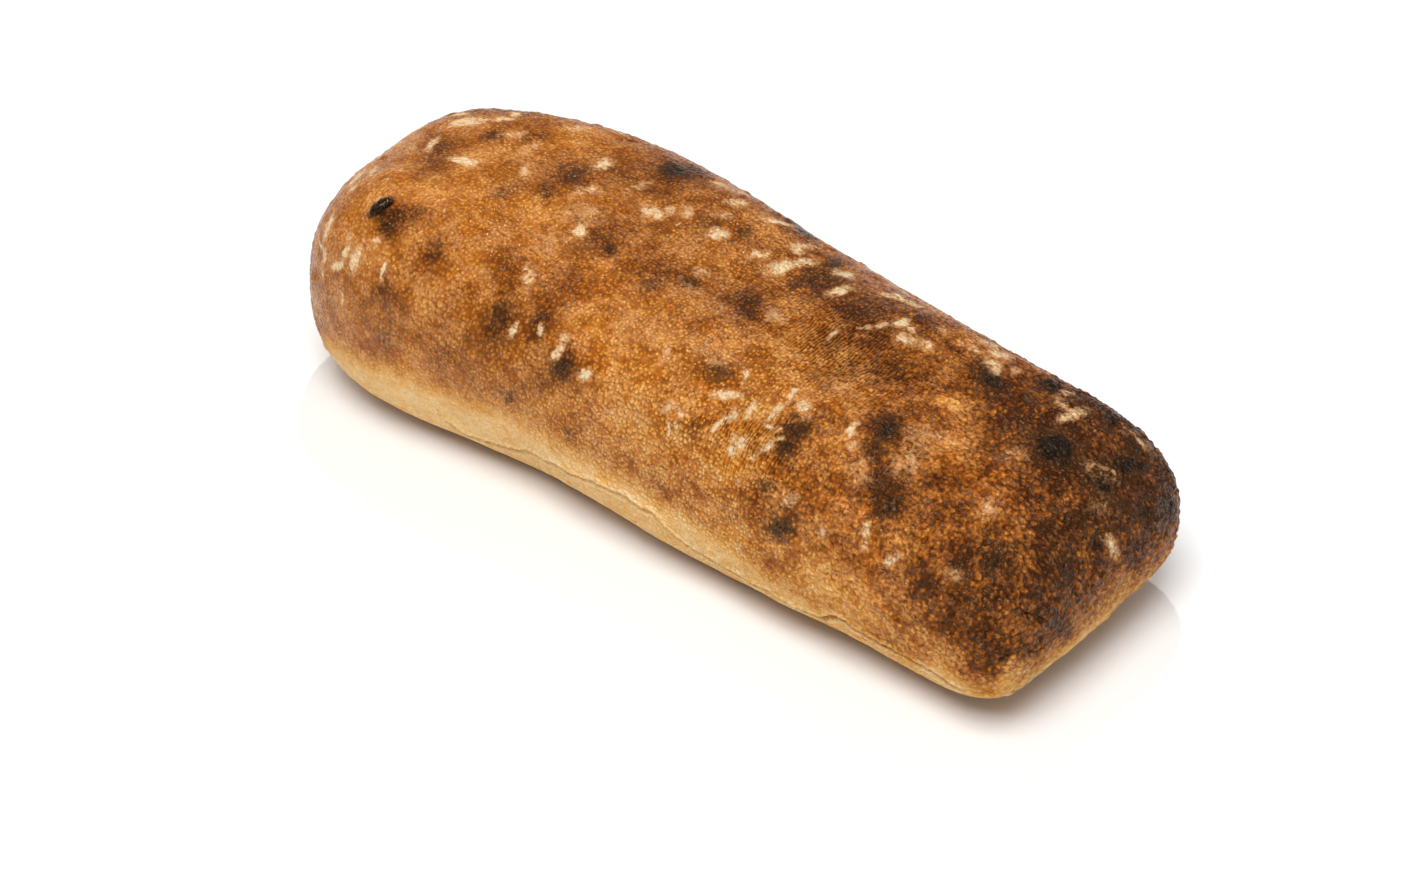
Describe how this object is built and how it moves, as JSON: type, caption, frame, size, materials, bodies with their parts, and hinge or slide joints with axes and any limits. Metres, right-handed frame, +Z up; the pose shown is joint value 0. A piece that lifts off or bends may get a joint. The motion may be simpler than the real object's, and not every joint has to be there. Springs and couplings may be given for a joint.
{
  "type": "ciabatta loaf",
  "caption": "Whole baked ciabatta: a low, rounded oblong loaf with a browned, floured, blistered crust and a flat base, one end round and bulky, the other squarer",
  "frame": {"origin": "centre of the footprint's bounding box, on the flat base the loaf rests on", "axes": "+X along the length towards the squarer end, +Y across the width, away from the long side with the pale strip and the seam, +Z up from the base"},
  "size_m": [0.2402, 0.0996, 0.0656],
  "materials": {
    "crust": null
  },
  "bodies": {
    "root": {"loaf": "crust"}
  },
  "joints": []
}
